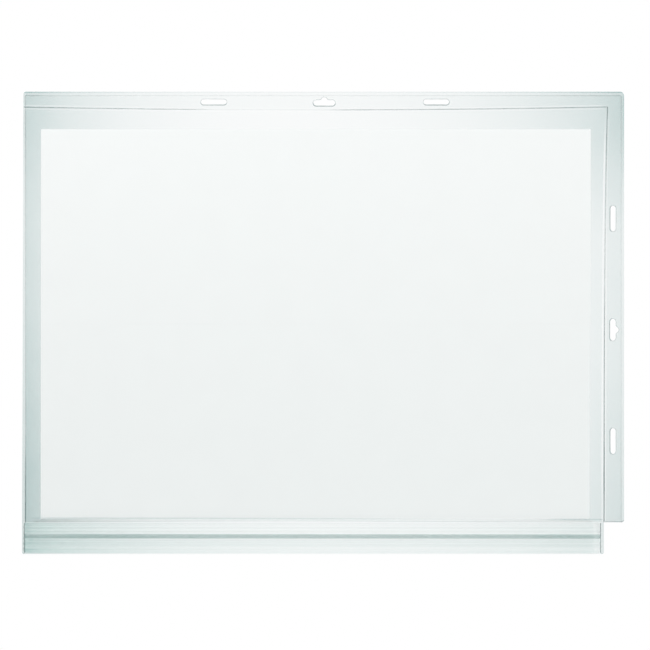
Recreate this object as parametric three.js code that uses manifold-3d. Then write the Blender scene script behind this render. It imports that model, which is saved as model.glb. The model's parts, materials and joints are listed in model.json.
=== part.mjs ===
// A waterproof display pocket for one large sheet, hung up by punched flanges along its top and right sides.
// Two clear films are welded together round a chamber. The chamber's lower side is a mouth with a
// press-to-close profile: a tongue on the front lip that goes into a groove on the rear film.
// Millimetres, +X to the right, +Y to the back, +Z up, seen from the front.

import * as THREE from 'three';
import { mergeVertices } from 'three/addons/utils/BufferGeometryUtils.js';
import Module from 'manifold-3d';

// Displayed sheet, landscape A3
const SHEET_WIDTH = 420;
const SHEET_HEIGHT = 297;
const SHEET_THICKNESS = 0.2;

// Clearances
const SEAT_GAP = 0.3; // between pieces that meet but aren't welded
const SHEET_GAP = 0.35; // between the sheet and each film

// Films and their margins round the sheet
const FILM_THICKNESS = 0.4;
const LEFT_MARGIN = 13.6; // outer edge to sheet
const RIGHT_MARGIN = 10; // sheet to right seam
const TOP_MARGIN = 15.6; // sheet to top seam
const TOP_FLANGE = 13; // top seam to top edge
const RIGHT_FLANGE = 15.4; // right seam to right edge
const EDGE_RISE = 3; // run over which the front film climbs from a weld to its full stand-off
const MOUTH_RISE = 30; // run over which it climbs from the sheet to the thicker closure

// Welds, pressed into the front film
const RIM_WIDTH = 2.3;
const RIM_SINK = 0.1;
const SEAM_WIDTH = 0.8;
const SEAM_SINK = 0.2;
const WELD_BAND = 2.3; // overlap of the front film on the closure profile

// Corners of the films
const TOP_LEFT_RADIUS = 2;
const TOP_RIGHT_RADIUS = 3.4;
const FLANGE_FOOT_RADIUS = 2;
const FOOT_RADIUS = 1.6;

// Punched slots, a Euro slot between two plain ones along each flange
const SLOT_LENGTH = 20;
const SLOT_WIDTH = 4.5;
const SLOT_SPACING = 84.8; // from a plain slot to the middle of its flange's pair
const EURO_LENGTH = 17.1;
const EURO_WIDTH = 4.8;
const EURO_CROWN = 2.2; // how far the middle of the Euro slot rises above its body
const CROWN_RADIUS = 2.6;
const CROWN_FILLET = 1.2;
const EURO_INSET = 8.6; // outer edge to the middle of the Euro slot's body, on both flanges
const TOP_EURO_MIDDLE = 230.4; // left edge to the Euro slot
const TOP_SLOTS_DROP = 7.9; // top edge to the plain slots
const TOP_SLOTS_MIDDLE = 231; // left edge to the middle of the plain pair
const RIGHT_SLOTS_INSET = 8.5; // right edge to the plain slots
const RIGHT_SLOTS_MIDDLE = 170.9; // lower edge to the Euro slot and the middle of the plain pair

// Closure profile: heights along the strip, from the pocket's lower edge
const FOOT_TO_BEAD = 13.8;
const BEAD_TO_HINGE = 10.4;
const LIP_STEP = 0.8; // how much shorter the lip is than the rear, so that a thumb can part them
const GRIP_RIB_HEIGHT = 7.2;
const GUIDE_RIB_OFFSET = 3.7; // ribs above and below the bead that keep the two strips parallel

// Closure profile: thickness
const REAR_BASE = 0.6;
const LIP_BASE = 0.7;
const BASE_GAP = 1.7; // between the two bases, taken up by the groove's jaws
const HINGE_SKIN = 0.35;
const HINGE_TAPER = 1.8;

// Groove and tongue, as half widths across the bead
const JAW_OUTER = 1.65;
const JAW_INNER = 1.05;
const JAW_MOUTH = 0.85;
const TONGUE_NECK = 0.28;
const TONGUE_HEAD = 0.5;
const HOOK_DEPTH = 0.55; // length of the jaws' hooks and of the tongue's head
const RIB_HALF = 0.3;
const GRIP_RIB_RISE = 0.25;

// Ends of the closure, where both strips are crushed into the end welds
const LEFT_END = 1.9; // outer left edge to strip
const RIGHT_END = 2.4; // strip to right seam
const CRUSHED_LENGTH = 5.3;
const CRUSHED_THICKNESS = 1.3;
const END_BITE = 0.3; // how far the rear strip's full profile runs into its crushed ends
const CRIMP_WIDTH = 0.7;
const CRIMP_SINK = 0.15;
const CRIMPS = 3;

// Smoothness of curves and how far cutters run past what they cut
const RISE_STEPS = 5;
const MOUTH_STEPS = 8;
const CURVE_STEPS = 8;
const PAST = 2;

// Places worked out from the sizes above
const BODY_WIDTH = LEFT_MARGIN + SHEET_WIDTH + RIGHT_MARGIN;
const WIDTH = BODY_WIDTH + RIGHT_FLANGE;
const HINGE_HEIGHT = FOOT_TO_BEAD + BEAD_TO_HINGE;
const STRIP_TOP = HINGE_HEIGHT + WELD_BAND;
const SHEET_BOTTOM = STRIP_TOP + SEAT_GAP;
const TOP_SEAM = SHEET_BOTTOM + SHEET_HEIGHT + TOP_MARGIN;
const HEIGHT = TOP_SEAM + TOP_FLANGE;
const SHEET_DEPTH = SHEET_THICKNESS + 2 * SHEET_GAP;
const LIP_BACK = -(REAR_BASE + BASE_GAP);
const LIP_FRONT = LIP_BACK - LIP_BASE;
const MOUTH_DEPTH = -LIP_FRONT - FILM_THICKNESS;
const LIP_TOP = HINGE_HEIGHT - SEAT_GAP;
const REACH = BASE_GAP - SEAT_GAP; // of the jaws, the guide ribs and the tongue
const CRUSHED_LEFT = LEFT_END + CRUSHED_LENGTH;
const CRUSHED_RIGHT = BODY_WIDTH - RIGHT_END - CRUSHED_LENGTH;
const HANG_HEIGHT = HEIGHT - EURO_INSET + EURO_WIDTH / 2 + EURO_CROWN;

const wasm = await Module();
wasm.setup();

// Turns a closed geometry into a solid for joining and cutting.
function solidOf(geometry) {
  const bare = geometry.clone();
  bare.deleteAttribute('normal');
  bare.deleteAttribute('uv');
  const merged = mergeVertices(bare);
  const vertProperties = Float32Array.from(merged.attributes.position.array);
  const triVerts = Uint32Array.from(merged.index.array);
  return new wasm.Manifold(new wasm.Mesh({ numProp: 3, vertProperties, triVerts }));
}

function geometryOf(solid) {
  const mesh = solid.getMesh();
  const geometry = new THREE.BufferGeometry();
  geometry.setAttribute('position', new THREE.BufferAttribute(mesh.vertProperties, 3));
  geometry.setIndex(new THREE.BufferAttribute(mesh.triVerts, 1));
  geometry.computeVertexNormals();
  return geometry;
}

// An outline drawn as seen from the front, made into a sheet that runs forward from back by depth.
function plate(outline, back, depth) {
  const geometry = new THREE.ExtrudeGeometry(outline, {
    depth,
    bevelEnabled: false,
    curveSegments: CURVE_STEPS,
  });
  geometry.rotateX(Math.PI / 2);
  geometry.translate(0, back, 0);
  return geometry;
}

// A profile drawn in depth and height, run along X from start to end.
function strip(profile, start, end) {
  const geometry = new THREE.ExtrudeGeometry(profile, {
    depth: end - start,
    bevelEnabled: false,
    curveSegments: CURVE_STEPS,
  });
  const alongX = new THREE.Matrix4().set(0, 0, 1, start, 1, 0, 0, 0, 0, 1, 0, 0, 0, 0, 0, 1);
  geometry.applyMatrix4(alongX);
  return geometry;
}

// A box between two corners.
function block(low, high) {
  const size = new THREE.Vector3().subVectors(high, low);
  const geometry = new THREE.BoxGeometry(size.x, size.y, size.z);
  geometry.translate(low.x + size.x / 2, low.y + size.y / 2, low.z + size.z / 2);
  return geometry;
}

// A polygon whose corners are rounded, each point given as x, height and radius.
function roundedOutline(corners) {
  const outline = new THREE.Shape();
  corners.forEach(({ at, radius }, i) => {
    const before = corners[(i + corners.length - 1) % corners.length].at;
    const after = corners[(i + 1) % corners.length].at;
    const enter = at.clone().add(before.clone().sub(at).setLength(radius));
    const leave = at.clone().add(after.clone().sub(at).setLength(radius));
    if (i === 0) {
      outline.moveTo(enter.x, enter.y);
    } else {
      outline.lineTo(enter.x, enter.y);
    }
    if (radius > 0) {
      outline.quadraticCurveTo(at.x, at.y, leave.x, leave.y);
    }
  });
  outline.closePath();
  return outline;
}

// The outline that both films share above the given lower edge; the rear one also reaches down
// behind the closure, to the left of the right seam.
function filmOutline(foot, footRadius) {
  const corner = (x, height, radius) => ({ at: new THREE.Vector2(x, height), radius });
  const corners = [corner(0, foot, footRadius)];
  if (foot < HINGE_HEIGHT) {
    corners.push(corner(BODY_WIDTH, foot, footRadius));
    corners.push(corner(BODY_WIDTH, HINGE_HEIGHT, 0));
  }
  corners.push(corner(WIDTH, HINGE_HEIGHT, FLANGE_FOOT_RADIUS));
  corners.push(corner(WIDTH, HEIGHT, TOP_RIGHT_RADIUS));
  corners.push(corner(0, HEIGHT, TOP_LEFT_RADIUS));
  return roundedOutline(corners);
}

// A straight slot with round ends, centred on the origin and lying along X.
function plainSlot() {
  const radius = SLOT_WIDTH / 2;
  const reach = SLOT_LENGTH / 2 - radius;
  const slot = new THREE.Path();
  slot.absarc(reach, 0, radius, -Math.PI / 2, Math.PI / 2);
  slot.absarc(-reach, 0, radius, Math.PI / 2, (3 * Math.PI) / 2);
  slot.closePath();
  return slot;
}

// A Euro slot: a slot whose upper side rises to a round crown in the middle, with a fillet on each flank.
function euroSlot() {
  const radius = EURO_WIDTH / 2;
  const reach = EURO_LENGTH / 2 - radius;
  const crownCentre = radius + EURO_CROWN - CROWN_RADIUS;
  const filletCentre = radius + CROWN_FILLET;
  const between = CROWN_RADIUS + CROWN_FILLET;
  const aside = Math.sqrt(between ** 2 - (filletCentre - crownCentre) ** 2);
  const lean = Math.atan2(filletCentre - crownCentre, aside);
  const slot = new THREE.Path();
  slot.absarc(reach, 0, radius, -Math.PI / 2, Math.PI / 2);
  slot.absarc(aside, filletCentre, CROWN_FILLET, -Math.PI / 2, -Math.PI + lean, true);
  slot.absarc(0, crownCentre, CROWN_RADIUS, lean, Math.PI - lean);
  slot.absarc(-aside, filletCentre, CROWN_FILLET, -lean, -Math.PI / 2, true);
  slot.absarc(-reach, 0, radius, Math.PI / 2, (3 * Math.PI) / 2);
  slot.closePath();
  return slot;
}

// Sets a slot at its place, turned from lying along X.
function placed(slot, x, height, turn) {
  const middle = new THREE.Vector2();
  const moved = slot.getPoints(CURVE_STEPS).map((point) => {
    const turned = point.clone().rotateAround(middle, turn);
    return turned.add(new THREE.Vector2(x, height));
  });
  return new THREE.Path(moved.slice(0, -1));
}

// Three slots along each flange. On the right flange they stand upright, and the crown of the Euro
// slot points to the outer edge, as it does on the top flange.
function slots() {
  const upright = -Math.PI / 2;
  const all = [
    placed(euroSlot(), TOP_EURO_MIDDLE, HEIGHT - EURO_INSET, 0),
    placed(euroSlot(), WIDTH - EURO_INSET, RIGHT_SLOTS_MIDDLE, upright),
  ];
  for (const along of [-SLOT_SPACING, SLOT_SPACING]) {
    all.push(placed(plainSlot(), TOP_SLOTS_MIDDLE + along, HEIGHT - TOP_SLOTS_DROP, 0));
    all.push(placed(plainSlot(), WIDTH - RIGHT_SLOTS_INSET, RIGHT_SLOTS_MIDDLE + along, upright));
  }
  return all;
}

// Smooth climb from 0 to 1 over the given run.
function climb(distance, run) {
  return THREE.MathUtils.smoothstep(distance, 0, run);
}

// How far the front film's inner face stands in front of the rear film.
function standOff(x, height) {
  const toMouth = climb(STRIP_TOP + MOUTH_RISE - height, MOUTH_RISE);
  const depth = THREE.MathUtils.lerp(SHEET_DEPTH, MOUTH_DEPTH, toMouth);
  const left = climb(x - RIM_WIDTH, EDGE_RISE);
  const right = climb(BODY_WIDTH - SEAM_WIDTH / 2 - x, EDGE_RISE);
  const top = climb(TOP_SEAM - SEAM_WIDTH / 2 - height, EDGE_RISE);
  return depth * left * right * top;
}

function steps(from, to, count) {
  return Array.from({ length: count + 1 }, (_, i) => THREE.MathUtils.lerp(from, to, i / count));
}

// The front film as one formed sheet of even thickness, before it is trimmed to its outline.
function formedSheet() {
  const rightWall = BODY_WIDTH - SEAM_WIDTH / 2;
  const topWall = TOP_SEAM - SEAM_WIDTH / 2;
  const columns = [
    -PAST,
    ...steps(RIM_WIDTH, RIM_WIDTH + EDGE_RISE, RISE_STEPS),
    ...steps(rightWall - EDGE_RISE, rightWall, RISE_STEPS),
    WIDTH + PAST,
  ];
  const rows = [
    HINGE_HEIGHT - PAST,
    ...steps(STRIP_TOP, STRIP_TOP + MOUTH_RISE, MOUTH_STEPS),
    ...steps(topWall - EDGE_RISE, topWall, RISE_STEPS),
    HEIGHT + PAST,
  ];
  const positions = [];
  for (const thickness of [0, FILM_THICKNESS]) {
    for (const height of rows) {
      for (const x of columns) {
        positions.push(x, -standOff(x, height) - thickness, height);
      }
    }
  }
  const across = columns.length;
  const layer = across * rows.length;
  const at = (row, column, face) => face * layer + row * across + column;
  const index = [];
  const quad = (a, b, c, d) => index.push(a, b, c, a, c, d);
  for (let row = 0; row + 1 < rows.length; row += 1) {
    for (let column = 0; column + 1 < across; column += 1) {
      const corner = (face, up, right) => at(row + up, column + right, face);
      quad(corner(1, 0, 0), corner(1, 0, 1), corner(1, 1, 1), corner(1, 1, 0));
      index.push(corner(0, 0, 0), corner(0, 1, 1), corner(0, 0, 1));
      index.push(corner(0, 0, 0), corner(0, 1, 0), corner(0, 1, 1));
    }
  }
  for (let column = 0; column + 1 < across; column += 1) {
    const last = rows.length - 1;
    quad(at(0, column, 0), at(0, column + 1, 0), at(0, column + 1, 1), at(0, column, 1));
    quad(at(last, column, 1), at(last, column + 1, 1), at(last, column + 1, 0), at(last, column, 0));
  }
  for (let row = 0; row + 1 < rows.length; row += 1) {
    const last = across - 1;
    quad(at(row, 0, 0), at(row, 0, 1), at(row + 1, 0, 1), at(row + 1, 0, 0));
    quad(at(row, last, 1), at(row, last, 0), at(row + 1, last, 0), at(row + 1, last, 1));
  }
  const geometry = new THREE.BufferGeometry();
  geometry.setAttribute('position', new THREE.Float32BufferAttribute(positions, 3));
  geometry.setIndex(index);
  return geometry;
}

// The melted rim along the left, top and right edges, as a cutter that sinks it into the film.
function rimCutter() {
  const rim = new THREE.Shape();
  rim.moveTo(-PAST, -PAST);
  rim.lineTo(RIM_WIDTH, -PAST);
  rim.lineTo(RIM_WIDTH, HEIGHT - RIM_WIDTH);
  rim.lineTo(WIDTH - RIM_WIDTH, HEIGHT - RIM_WIDTH);
  rim.lineTo(WIDTH - RIM_WIDTH, -PAST);
  rim.lineTo(WIDTH + PAST, -PAST);
  rim.lineTo(WIDTH + PAST, HEIGHT + PAST);
  rim.lineTo(-PAST, HEIGHT + PAST);
  rim.closePath();
  return plate(rim, RIM_SINK - FILM_THICKNESS, PAST);
}

// The narrow weld seams that part the chamber from the flanges.
function seamCutters() {
  const front = -FILM_THICKNESS - PAST;
  const floor = SEAM_SINK - FILM_THICKNESS;
  const half = SEAM_WIDTH / 2;
  const topSeam = block(
    new THREE.Vector3(-PAST, front, TOP_SEAM - half),
    new THREE.Vector3(BODY_WIDTH + half, floor, TOP_SEAM + half),
  );
  const rightSeam = block(
    new THREE.Vector3(BODY_WIDTH - half, front, HINGE_HEIGHT - PAST),
    new THREE.Vector3(BODY_WIDTH + half, floor, TOP_SEAM - half + SEAM_SINK),
  );
  return [topSeam, rightSeam];
}

// Where the front film is melted onto the closure profile, it is as thick as the lip below it.
function weldBand() {
  const band = new THREE.Shape();
  band.moveTo(LIP_BACK, HINGE_HEIGHT);
  band.lineTo(LIP_BACK, STRIP_TOP - LIP_BASE + FILM_THICKNESS);
  band.lineTo(LIP_FRONT + FILM_THICKNESS, STRIP_TOP);
  band.lineTo(LIP_FRONT + FILM_THICKNESS / 2, STRIP_TOP);
  band.lineTo(LIP_FRONT + FILM_THICKNESS / 2, HINGE_HEIGHT);
  band.closePath();
  return strip(band, CRUSHED_LEFT + SEAT_GAP, CRUSHED_RIGHT - SEAT_GAP);
}

function frontFilm() {
  const outline = filmOutline(HINGE_HEIGHT, 0);
  outline.holes.push(...slots());
  const depth = -LIP_FRONT + 2 * PAST;
  const trim = solidOf(plate(outline, PAST, depth));
  let film = solidOf(formedSheet()).add(solidOf(weldBand())).intersect(trim);
  for (const cutter of [rimCutter(), ...seamCutters()]) {
    film = film.subtract(solidOf(cutter));
  }
  return geometryOf(film);
}

function rearFilm() {
  const outline = filmOutline(0, FOOT_RADIUS);
  outline.holes.push(...slots());
  return geometryOf(solidOf(plate(outline, FILM_THICKNESS, FILM_THICKNESS)));
}

// One rib of a profile, drawn downward along a face that stands at base, with its tip out by rise.
function drawRib(profile, base, centre, rise) {
  const tip = base - rise;
  profile.lineTo(base, centre + RIB_HALF);
  profile.lineTo(tip + RIB_HALF / 2, centre + RIB_HALF);
  profile.quadraticCurveTo(tip, centre + RIB_HALF, tip, centre);
  profile.quadraticCurveTo(tip, centre - RIB_HALF, tip + RIB_HALF / 2, centre - RIB_HALF);
  profile.lineTo(base, centre - RIB_HALF);
}

// The groove's two hooked jaws, drawn downward across the bead.
function drawJaws(profile, base) {
  const tip = base - REACH;
  const hook = tip + HOOK_DEPTH;
  const lead = (JAW_OUTER + JAW_MOUTH) / 2;
  const jaw = [
    [base, JAW_OUTER],
    [tip + HOOK_DEPTH / 2, JAW_OUTER],
    [tip, lead],
    [tip + HOOK_DEPTH / 2, JAW_MOUTH],
    [hook - HOOK_DEPTH / 5, JAW_MOUTH],
    [hook, JAW_INNER],
    [base, JAW_INNER],
  ];
  for (const [depth, half] of jaw) {
    profile.lineTo(depth, FOOT_TO_BEAD + half);
  }
  for (const [depth, half] of jaw.reverse()) {
    profile.lineTo(depth, FOOT_TO_BEAD - half);
  }
}

// The arrow-shaped tongue, drawn upward along the lip's inner face.
function drawTongue(profile) {
  const tip = LIP_BACK + REACH;
  const barb = tip - HOOK_DEPTH;
  profile.lineTo(LIP_BACK, FOOT_TO_BEAD - TONGUE_NECK);
  profile.lineTo(barb, FOOT_TO_BEAD - TONGUE_NECK);
  profile.lineTo(barb + HOOK_DEPTH / 5, FOOT_TO_BEAD - TONGUE_HEAD);
  profile.lineTo(barb + HOOK_DEPTH / 2, FOOT_TO_BEAD - TONGUE_HEAD);
  profile.quadraticCurveTo(tip, FOOT_TO_BEAD - TONGUE_NECK, tip, FOOT_TO_BEAD);
  profile.quadraticCurveTo(
    tip,
    FOOT_TO_BEAD + TONGUE_NECK,
    barb + HOOK_DEPTH / 2,
    FOOT_TO_BEAD + TONGUE_HEAD,
  );
  profile.lineTo(barb + HOOK_DEPTH / 5, FOOT_TO_BEAD + TONGUE_HEAD);
  profile.lineTo(barb, FOOT_TO_BEAD + TONGUE_NECK);
  profile.lineTo(LIP_BACK, FOOT_TO_BEAD + TONGUE_NECK);
}

function rearStripProfile() {
  const profile = new THREE.Shape();
  profile.moveTo(0, 0);
  profile.lineTo(0, STRIP_TOP);
  profile.lineTo(-REAR_BASE, STRIP_TOP);
  drawRib(profile, -REAR_BASE, FOOT_TO_BEAD + GUIDE_RIB_OFFSET, REACH);
  drawJaws(profile, -REAR_BASE);
  drawRib(profile, -REAR_BASE, FOOT_TO_BEAD - GUIDE_RIB_OFFSET, REACH);
  profile.lineTo(-REAR_BASE, 0);
  profile.closePath();
  return profile;
}

function lipProfile() {
  const profile = new THREE.Shape();
  const edge = LIP_BASE / 2;
  profile.moveTo(LIP_FRONT + edge, LIP_STEP);
  profile.lineTo(LIP_BACK, LIP_STEP);
  drawTongue(profile);
  profile.lineTo(LIP_BACK, LIP_TOP - HINGE_TAPER);
  profile.lineTo(LIP_FRONT + HINGE_SKIN, LIP_TOP);
  profile.lineTo(LIP_FRONT, LIP_TOP);
  drawRib(profile, LIP_FRONT, GRIP_RIB_HEIGHT, GRIP_RIB_RISE);
  profile.lineTo(LIP_FRONT, LIP_STEP + edge);
  profile.quadraticCurveTo(LIP_FRONT, LIP_STEP, LIP_FRONT + edge, LIP_STEP);
  profile.closePath();
  return profile;
}

// One crushed end of the closure, with the crimp marks that the weld tool leaves.
function crushedEnd(start) {
  const low = new THREE.Vector3(start, -CRUSHED_THICKNESS, 0);
  const high = new THREE.Vector3(start + CRUSHED_LENGTH, 0, LIP_TOP);
  let end = solidOf(block(low, high));
  const pitch = CRUSHED_LENGTH / CRIMPS;
  for (let i = 0; i < CRIMPS; i += 1) {
    const middle = start + pitch * (i + 0.5);
    const crimp = block(
      new THREE.Vector3(middle - CRIMP_WIDTH / 2, -CRUSHED_THICKNESS - PAST, -PAST),
      new THREE.Vector3(middle + CRIMP_WIDTH / 2, CRIMP_SINK - CRUSHED_THICKNESS, HEIGHT),
    );
    end = end.subtract(solidOf(crimp));
  }
  return end;
}

function rearStrip() {
  const profile = rearStripProfile();
  const middle = solidOf(strip(profile, CRUSHED_LEFT - END_BITE, CRUSHED_RIGHT + END_BITE));
  const left = crushedEnd(LEFT_END);
  const right = crushedEnd(CRUSHED_RIGHT);
  return geometryOf(middle.add(left).add(right));
}

function lip() {
  return geometryOf(solidOf(strip(lipProfile(), CRUSHED_LEFT + SEAT_GAP, CRUSHED_RIGHT - SEAT_GAP)));
}

function sheet() {
  const low = new THREE.Vector3(LEFT_MARGIN, -SHEET_GAP - SHEET_THICKNESS, SHEET_BOTTOM);
  const high = new THREE.Vector3(LEFT_MARGIN + SHEET_WIDTH, -SHEET_GAP, SHEET_BOTTOM + SHEET_HEIGHT);
  return block(low, high);
}

function finish(color, roughness, opacity) {
  return new THREE.MeshStandardMaterial({
    color,
    roughness,
    metalness: 0,
    opacity,
    transparent: opacity < 1,
  });
}

function piece(name, geometry, material) {
  const mesh = new THREE.Mesh(geometry, material);
  mesh.name = name;
  return mesh;
}

// The origin is where a hook carries the pocket: the crown of the top Euro slot, between the films.
const pocket = new THREE.Group();
pocket.position.set(-TOP_EURO_MIDDLE, 0, -HANG_HEIGHT);
pocket.add(piece('rear_film', rearFilm(), finish(0xd3dedc, 0.12, 0.35)));
pocket.add(piece('front_film', frontFilm(), finish(0xe6eeec, 0.1, 0.3)));
pocket.add(piece('rear_closure_strip', rearStrip(), finish(0xb4c8c6, 0.18, 0.5)));
pocket.add(piece('front_closure_lip', lip(), finish(0xc4d4d2, 0.18, 0.5)));
pocket.add(piece('insert_sheet', sheet(), finish(0xf6f8f7, 0.7, 1)));

export default pocket;
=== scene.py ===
"""Clear welded display pocket: film, weld beads, press-to-close mouth and the sheet that it shows."""
import json
import math

import bmesh
import bpy
from bpy.props import FloatProperty, FloatVectorProperty, IntProperty, PointerProperty
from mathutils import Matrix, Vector, geometry, noise


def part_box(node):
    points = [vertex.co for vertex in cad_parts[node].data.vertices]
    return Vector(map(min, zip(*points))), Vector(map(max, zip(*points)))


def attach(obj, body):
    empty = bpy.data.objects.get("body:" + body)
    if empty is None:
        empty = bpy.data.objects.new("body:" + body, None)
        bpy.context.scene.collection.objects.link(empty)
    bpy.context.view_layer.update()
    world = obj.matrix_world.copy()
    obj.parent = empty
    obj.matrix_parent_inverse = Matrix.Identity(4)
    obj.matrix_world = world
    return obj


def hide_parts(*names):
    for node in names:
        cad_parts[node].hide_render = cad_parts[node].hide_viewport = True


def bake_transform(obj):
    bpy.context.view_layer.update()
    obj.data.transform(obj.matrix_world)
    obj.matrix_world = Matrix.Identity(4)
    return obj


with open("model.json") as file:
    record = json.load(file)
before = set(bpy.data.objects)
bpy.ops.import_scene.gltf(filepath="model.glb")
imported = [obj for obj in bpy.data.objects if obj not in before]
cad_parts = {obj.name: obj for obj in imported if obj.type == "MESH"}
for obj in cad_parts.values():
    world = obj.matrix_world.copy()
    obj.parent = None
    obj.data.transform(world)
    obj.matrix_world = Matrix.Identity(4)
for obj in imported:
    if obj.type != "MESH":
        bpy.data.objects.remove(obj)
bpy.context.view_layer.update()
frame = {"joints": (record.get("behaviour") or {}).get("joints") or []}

bl_info = {
    "name": "Display pocket",
    "version": (1, 0, 0),
    "blender": (4, 5, 0),
    "location": "View3D > Sidebar > Pocket",
    "description": "Makes a clear welded display pocket with a press-to-close mouth",
    "category": "Add Mesh",
}

# The frame, and where the solids lie in it
MM = 0.001
REAR_LOW, REAR_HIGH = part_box("rear_film")
FRONT_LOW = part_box("front_film")[0]
GROOVE_LOW, GROOVE_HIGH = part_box("rear_closure_strip")
LIP_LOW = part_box("front_closure_lip")[0]
SHEET_LOW, SHEET_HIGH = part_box("insert_sheet")
HINGE = next(joint for joint in frame["joints"] if joint["name"] == "lip_hinge")["pos_m"]
LEFT = REAR_LOW.x
RIGHT = REAR_HIGH.x
BOTTOM = REAR_LOW.z
TOP = REAR_HIGH.z

# Margins of the pocket round its sheet and its closure
SIDE_SEAM = GROOVE_HIGH.x + 2.4 * MM
TOP_SEAM = SHEET_HIGH.z + 15.6 * MM
FILM = 0.4 * MM
AIR = 0.03 * MM
RIM = 2.3 * MM
LEFT_RIM = 2.65 * MM
RIGHT_RIM = 2.2 * MM
TOP_RIM = 3.0 * MM
LEFT_LEAN = 1.2 * MM
SEAM = 0.8 * MM
CHAMBER = -SHEET_LOW.y + 0.35 * MM
EDGE_RISE = 3.0 * MM
MOUTH_RISE = 30.0 * MM
STRIP_TOP = GROOVE_HIGH.z
MOUTH = -FRONT_LOW.y - FILM

# How the weld tool strayed from straight seams
SIDE_DRIFT = 2.7 * MM
SIDE_DRIFT_REACH = 90.0 * MM
TOP_DIP = 0.9 * MM
TOP_BOW = 8.8 * MM

# Punched slots
SLOT_LENGTH = 20.0 * MM
SLOT_WIDTH = 4.5 * MM
SLOT_SPACING = 84.8 * MM
EURO_LENGTH = 17.1 * MM
EURO_WIDTH = 4.8 * MM
EURO_CROWN = 2.2 * MM
CROWN_RADIUS = 2.6 * MM
CROWN_FILLET = 1.2 * MM
TOP_EURO = TOP - 8.6 * MM
TOP_SLOTS = TOP - 7.9 * MM
TOP_PAIR = 0.6 * MM
SIDE_EURO = RIGHT - 8.6 * MM
SIDE_SLOTS = RIGHT - 8.5 * MM
SIDE_SLOTS_MIDDLE = BOTTOM + 170.9 * MM

# Closure, across the strip
BEAD = BOTTOM + 13.8 * MM
BEAD_HALF = 1.75 * MM
RIB_OFFSET = 3.7 * MM
CRUSHED = 4.0 * MM
CRUSH_RUN = 7.0 * MM
LIP_TWIST = 62.0 * MM
REAR_BASE = -0.6 * MM
GROOVE_TIP = -2.0 * MM
LIP_BACK = -2.3 * MM
LIP_FRONT = -3.0 * MM
TONGUE_TIP = -0.9 * MM
PRESSED_GROOVE = -0.62 * MM
PRESSED_LIP = -1.28 * MM
CRIMP_FACE = -1.3 * MM
BEAD_INNER = BEAD_HALF - 0.15 * MM
BEAD_OUTER = BEAD_HALF + 0.1 * MM

# Photograph's view
VIEW_WIDTH = 0.4955
VIEW_CENTRE = Vector((0.0006, 0.0, -0.17385))
VIEW_DISTANCE = 3.2
SENSOR = 36.0
WHITE = (1, 1, 1, 1)

# Floor of the stage, and where it melts into the white round it
FLOOR_DROP = 0.32
FLOOR_RADIUS = 0.8
FLOOR_FADE = (0.35, 0.78)

# Finishes
VINYL_IOR = 1.53
PAPER_WHITE = (0.930, 0.950, 0.943)
# Greyer paper for random patches and for the painted shade along the fold
PAPER_MOTTLE_AND_CREASE_SHADE = (0.90, 0.915, 0.91)


def number_setting(name, description, default, unit="NONE"):
    """One number of the panel."""
    return FloatProperty(name=name, description=description, default=default, unit=unit)


def tint_setting(description, default):
    """One colour of the panel."""
    return FloatVectorProperty(name="Tint", description=description, default=default, size=3, subtype="COLOR")


class FilmSettings(bpy.types.PropertyGroup):
    """Sizes and colours of the two films."""

    cell: number_setting("Cell", "Distance between the film's mesh points", 7.0 * MM, "LENGTH")
    ripple: number_setting("Ripple", "How far the window's film swells and dips", 0.22 * MM, "LENGTH")
    tint: tint_setting("Grey-green that the clear film turns where it is thick", (0.17, 0.38, 0.37))
    rear_haze: number_setting("Rear haze", "Share of light that the rear film holds back", 0.025)
    front_haze: number_setting("Front haze", "Share of light that the front film holds back", 0.015)
    flange_haze: number_setting("Flange haze", "Share added where the two films are pressed together", 0.025)


class ClosureSettings(bpy.types.PropertyGroup):
    """Sizes and density of the press-to-close profile."""

    step: number_setting("Step", "Distance between sections along the strip", 4.0 * MM, "LENGTH")
    tint: tint_setting("Grey-green that the thicker profile turns", (0.17, 0.48, 0.44))
    haze: number_setting("Haze", "Share of light that each flat strip holds back", 0.05)
    bead_haze: number_setting("Bead haze", "Share of light that the groove or the tongue holds back", 0.23)
    crimps: IntProperty(name="Crimps", description="Crush marks on each welded end", default=4)


class WeldSettings(bpy.types.PropertyGroup):
    """Beads that the welding tool and the punch leave on the film."""

    radius: number_setting("Radius", "Half the width of a weld bead", 0.42 * MM, "LENGTH")
    flatness: number_setting("Flatness", "Height of a bead as a share of its width", 0.3)
    slot_radius: number_setting("Slot radius", "Half the width of a slot's cut rim", 0.3 * MM, "LENGTH")


class StageSettings(bpy.types.PropertyGroup):
    """Light round the pocket."""

    key: number_setting("Key light", "Power of the large soft lamp", 17.2, "POWER")
    fill: number_setting("Fill light", "Power of the side lamp", 9.0, "POWER")
    back: number_setting("Back light", "Power of the lamp behind", 26.0, "POWER")
    sky: number_setting("Sky", "Strength of the even light all round", 0.54)


def slot_arc(centre, radius, start, end, steps=7):
    """Points along an arc, ends included."""
    turns = [start + (end - start) * i / steps for i in range(steps + 1)]
    return [Vector((centre[0] + radius * math.cos(t), centre[1] + radius * math.sin(t))) for t in turns]


def plain_slot():
    """A straight slot with round ends, lying along X, as points in width and height."""
    radius = SLOT_WIDTH / 2
    reach = SLOT_LENGTH / 2 - radius
    right = slot_arc((reach, 0), radius, -math.pi / 2, math.pi / 2)
    left = slot_arc((-reach, 0), radius, math.pi / 2, 1.5 * math.pi)
    return right + left


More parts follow.
